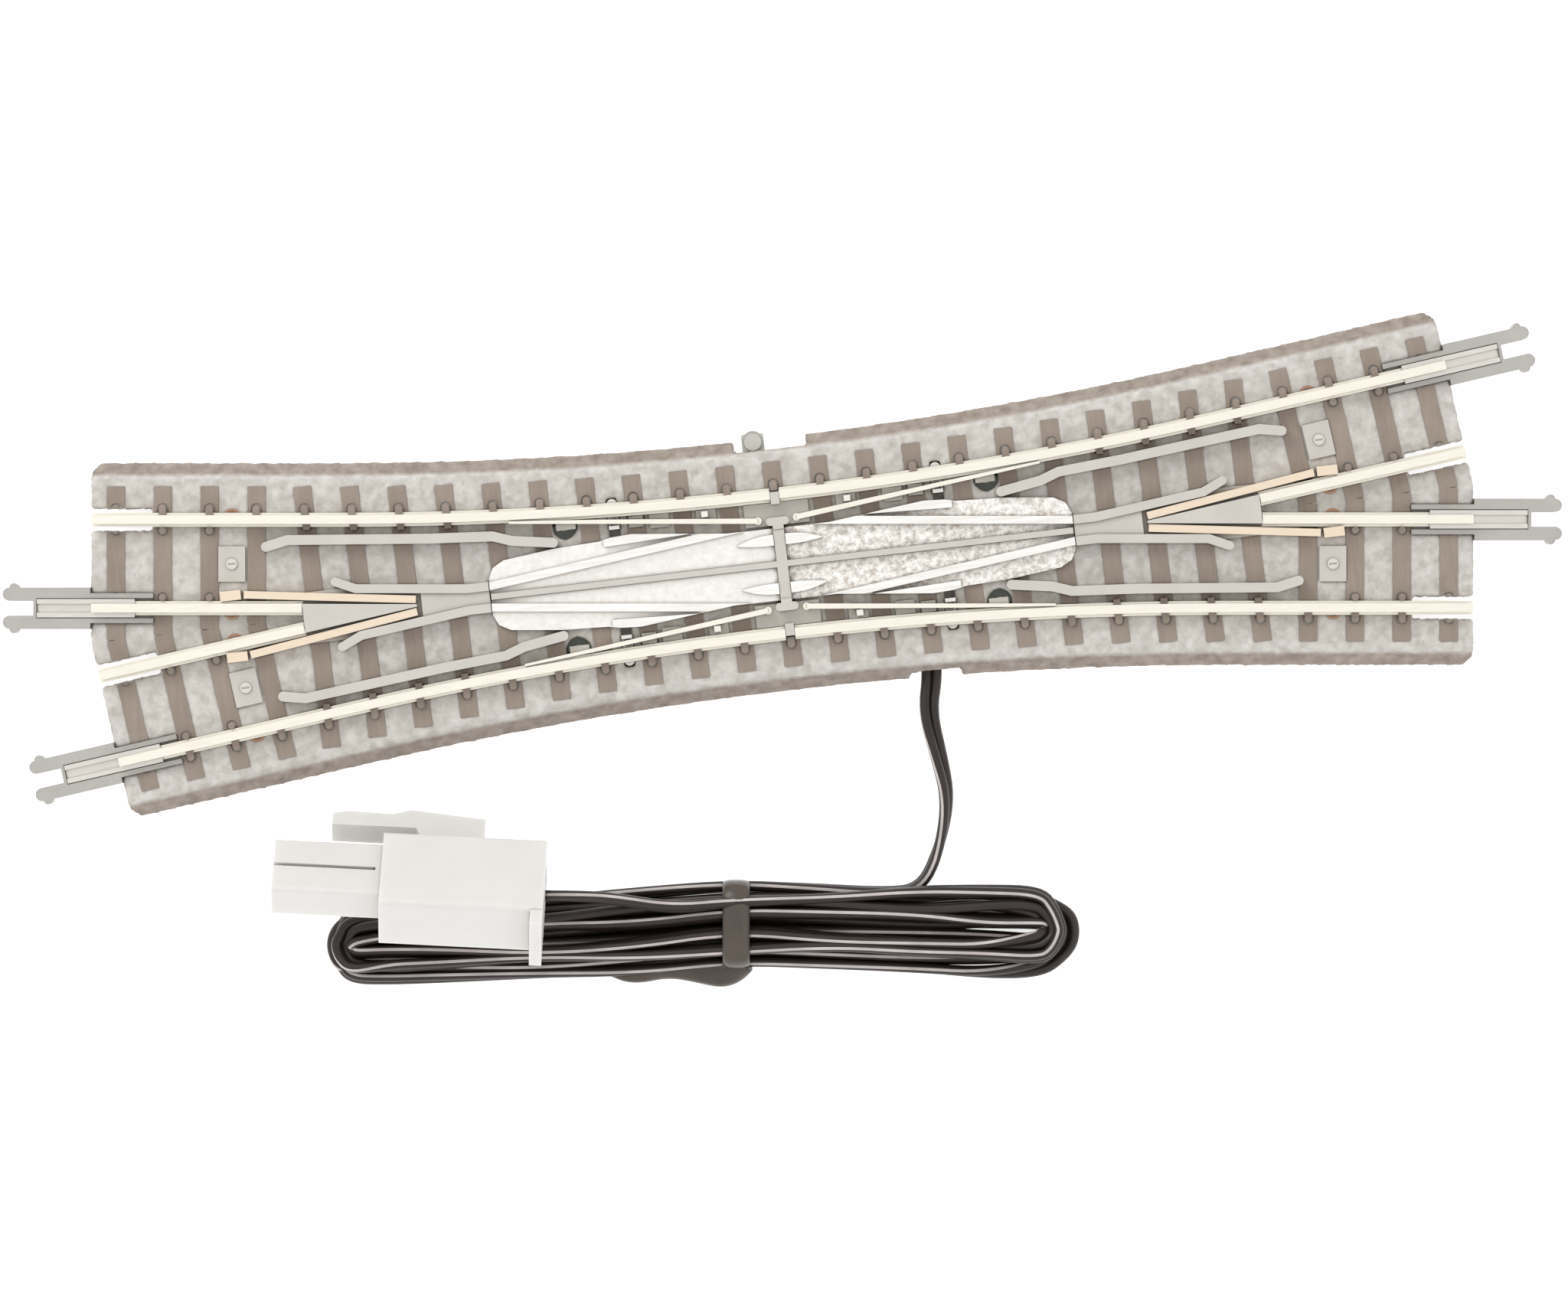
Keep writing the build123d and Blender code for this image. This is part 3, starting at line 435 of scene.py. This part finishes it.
def turned_over(path, walked):
    """How far the cord has turned on itself: on edge past the lead, over in some folds."""
    along = [(p.x * cos(LAY) - p.y * sin(LAY)) / MM for p in path]
    folding = [x < LEFT_FOLD or x > RIGHT_FOLD for x in along]
    turns = [min(1.0, w / ON_EDGE_AFTER) * pi / 2 for w in walked]
    starts = [i for i in range(1, len(path)) if folding[i] and not folding[i - 1]]
    for fold, start in enumerate(starts):
        if fold % 4 not in (1, 2):
            continue
        end = next((i for i in range(start, len(path)) if not folding[i]), len(path) - 1)
        for i in range(start, len(path)):
            share = min(1.0, (walked[i] - walked[start]) / (walked[end] - walked[start]))
            turns[i] += pi * share * share * (3 - 2 * share)
    return turns


def cord_mesh(name, path):
    """A flat twin cord: two joined cores, with a pale line along one of them, partly a stripe
    on that core and partly painted highlight.
    """
    steps = 22
    reach = radians(165)
    outline = []
    for side in (1, -1):
        for i in range(steps):
            angle = -reach + 2 * reach * i / (steps - 1)
            outline.append((side * (CORE * 0.97 + CORE * cos(angle)), side * CORE * sin(angle)))
    walked = [0.0]
    for before, point in zip(path, path[1:]):
        walked.append(walked[-1] + (point - before).length)
    rings = []
    for i, (point, turned) in enumerate(zip(path, turned_over(path, walked))):
        ahead = path[min(i + 1, len(path) - 1)] - path[max(i - 1, 0)]
        ahead.normalize()
        side = ahead.cross(Vector((0, 0, 1))).normalized()
        up = side.cross(ahead)
        angle = turned + 0.3 * sin(walked[i] / (9.5 * MM)) * min(1.0, walked[i] / (40 * MM))
        wide = side * cos(angle) + up * sin(angle)
        thin = ahead.cross(wide)
        rings.append([point + wide * a + thin * b for a, b in outline])
    points, faces = tube(rings)
    piece = mesh_piece(name, points, faces, (CORD, STRIPE_AND_HIGHLIGHT))
    n = len(outline)
    # The pale line's faces, at the first core's outer edge and on top where the cord stands on
    # edge: partly stripe, partly painted highlight.
    low, high = steps // 2 - 1, steps // 2 + 1
    for polygon in piece.data.polygons[: len(path) * n - n]:
        if low <= polygon.index % n < high:
            polygon.material_index = 1
    return piece


route = spline_points("cord_route", cord_controls(), 6)
cord = cord_mesh("twin_cord", route)
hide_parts("cable_lead", "cable_hank")
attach(cord, "base")


def swept(name, spine, widths, heights, material):
    """An elliptical sweep on a spine, with its own width and height at each point."""
    steps, rings = 20, []
    for i, point in enumerate(spine):
        ahead = (spine[min(i + 1, len(spine) - 1)] - spine[max(i - 1, 0)]).normalized()
        side = ahead.cross(Vector((0, 0, 1))).normalized()
        up = side.cross(ahead)
        w, h = widths[i], heights[i]
        ring = [
            point + side * w * cos(2 * pi * k / steps) + up * h * sin(2 * pi * k / steps)
            for k in range(steps)
        ]
        rings.append(ring)
    points, faces = tube(rings)
    return mesh_piece(name, points, faces, (material,))


def tie_band():
    """The tie's loop round the hank: a soft rounded band, closed on itself."""
    middle_y, middle_z = -29.5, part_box("cable_tie")[1][2] / MM / 2
    half_y, half_z, corner = 3.3, middle_z - 0.42, 1.4
    half_width, half_thick = 1.12 * MM, 0.36 * MM
    along = (lay(1, 0) - lay(0, 0)).normalized()
    spine = []
    for quarter, (sy, sz) in enumerate(((1, 1), (-1, 1), (-1, -1), (1, -1))):
        for i in range(7):
            angle = radians(90 * quarter + 15 * i)
            y = middle_y + sy * (half_y - corner) + corner * cos(angle)
            z = middle_z + sz * (half_z - corner) + corner * sin(angle)
            spine.append(lay(-3.78, y, z))
    steps, rings = 16, []
    for i, point in enumerate(spine):
        ahead = (spine[(i + 1) % len(spine)] - spine[i - 1]).normalized()
        out = ahead.cross(along).normalized()
        ring = []
        for k in range(steps):
            a = 2 * pi * k / steps
            swell = 1.0 + 0.06 * sin(3 * a + i * 0.7)
            w = half_width * abs(cos(a)) ** 0.8 * (1 if cos(a) >= 0 else -1)
            h = half_thick * sin(a) * swell
            ring.append(point + along * w + out * h)
        rings.append(ring)
    points = [p for ring in rings for p in ring]
    faces = []
    for i in range(len(rings)):
        here, there = i * steps, (i + 1) % len(rings) * steps
        for k in range(steps):
            m = (k + 1) % steps
            faces.append((here + k, here + m, there + m, there + k))
    return mesh_piece("tie_band", points, faces, (TIE,))


band = tie_band()
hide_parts("cable_tie")
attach(band, "base")

tail_route = spline_points(
    "tail_route",
    [
        lay(-3.1, -32.6, 1.6),
        lay(-4.2, -33.6, 1.0),
        lay(-6.6, -33.2, 0.95),
        lay(-9.4, -32.9, 0.8),
        lay(-12.2, -33.5, 0.85),
        lay(-14.2, -33.1, 0.7),
        lay(-17.0, -32.7, 0.55),
    ],
    8,
)


def tail_size(share):
    """Half the tail's width and height, this share of the way along it."""
    swell = 0.3 * sin(2.5 * pi * share + 0.4) * (1 - share) + 0.35 * sin(pi * share)
    width = (0.75 + swell) * MM * (1 - share**6) + 0.1 * MM
    return width, (0.8 - 0.35 * share) * MM * (1 - share**8)


tail_sizes = [tail_size(i / len(tail_route)) for i in range(len(tail_route))]
tail = swept("tie_tail", tail_route, *zip(*tail_sizes), TIE)
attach(tail, "base")


# ---------------------------------------------------------------- ballast relief
SKIN = 0.13  # the stones' mean height over the moulding, enough to hide the sleepers' webs
STONE = 0.6 * MM
STONES_FACE_UP = 0.15  # stones lie where the surface faces up at least this much
STONES_FROM = 0.8 * MM  # and above this height


def ballast_skin():
    """The roadbed with its stones in relief, on the exact outline of the CAD node."""
    source = NODES["roadbed"]
    skin = bpy.data.objects.new("ballast_skin", source.data.copy())
    bpy.context.scene.collection.objects.link(skin)
    voxel = 0.17 * MM
    remesh = skin.modifiers.new("voxels", "REMESH")
    remesh.mode = "VOXEL"
    remesh.voxel_size = voxel
    graph = bpy.context.evaluated_depsgraph_get()
    mesh = bpy.data.meshes.new_from_object(skin.evaluated_get(graph))
    skin.modifiers.clear()
    old = skin.data
    skin.data = mesh
    bpy.data.meshes.remove(old)
    places = np.empty(len(mesh.vertices) * 3)
    mesh.vertices.foreach_get("co", places)
    places = places.reshape(-1, 3)
    normals = np.empty(len(mesh.vertices) * 3)
    mesh.vertex_normals.foreach_get("vector", normals)
    normals = normals.reshape(-1, 3)
    for i, p in enumerate(places):
        if normals[i][2] < STONES_FACE_UP or p[2] < STONES_FROM:
            continue
        at = Vector(p) / STONE
        near = noise.voronoi(at)[0]
        stone = min(1.0, (near[1] - near[0]) * 1.4)
        soft = noise.noise(at * 0.6)
        depth = (SKIN + 0.05 * stone + 0.04 * soft) * MM
        places[i] = p + normals[i] * depth
    mesh.vertices.foreach_set("co", places.ravel())
    mesh.polygons.foreach_set("use_smooth", [True] * len(mesh.polygons))
    mesh.update()
    mesh.materials.clear()
    mesh.materials.append(source.data.materials[0])
    return skin


skin = ballast_skin()
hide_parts("roadbed")
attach(skin, "base")


# ---------------------------------------------------------------- stage
def floor():
    """A plain pale floor."""
    half = 0.9
    corners = [(-half, -half, 0), (half, -half, 0), (half, half, 0), (-half, half, 0)]
    s = Surface("floor_paper", 0.9)
    s.colour(s.ramp(s.noise(0.05, 2), (0.0, (0.8, 0.8, 0.8)), (1.0, (0.82, 0.82, 0.82))), 0.0)
    s.set(Emission_Color=(1, 1, 1, 1), Emission_Strength=0.75)
    piece = mesh_piece("floor", corners, [(0, 1, 2, 3)], (s.material,), smooth=False)
    piece.location.z = -0.02 * MM


def area_light(name, place, size, power):
    """A square light that points at the origin."""
    lamp = bpy.data.lights.new(name, "AREA")
    lamp.size = size
    lamp.energy = power
    holder = bpy.data.objects.new(name, lamp)
    holder.location = place
    holder.rotation_euler = (-Vector(place)).to_track_quat("-Z", "Y").to_euler()
    bpy.context.scene.collection.objects.link(holder)


floor()
world = bpy.data.worlds.new("studio")
bpy.context.scene.world = world
world.use_nodes = True
world.node_tree.nodes["Background"].inputs["Color"].default_value = (1, 1, 1, 1)
world.node_tree.nodes["Background"].inputs["Strength"].default_value = 0.98
area_light("key", (-0.25, 0.35, 0.45), 0.3, 1.1)
area_light("fill", (0.35, -0.3, 0.5), 0.5, 0.4)
bpy.context.scene.view_settings.view_transform = "Standard"

# The camera looks straight down, with the photographer's slight turn.
CAMERA_HEIGHT = 0.7
VIEW_WIDTH = 127.9 * MM  # at the rail tops
camera = bpy.data.objects.new("camera", bpy.data.cameras.new("camera"))
bpy.context.scene.collection.objects.link(camera)
camera.location = lay(0.14, -7.29, CAMERA_HEIGHT / MM)
camera.rotation_euler = (0, 0, -LAY)
camera.data.sensor_width = 36
camera.data.lens = 36 * (CAMERA_HEIGHT - RAIL_TOP) / VIEW_WIDTH
bpy.context.scene.camera = camera
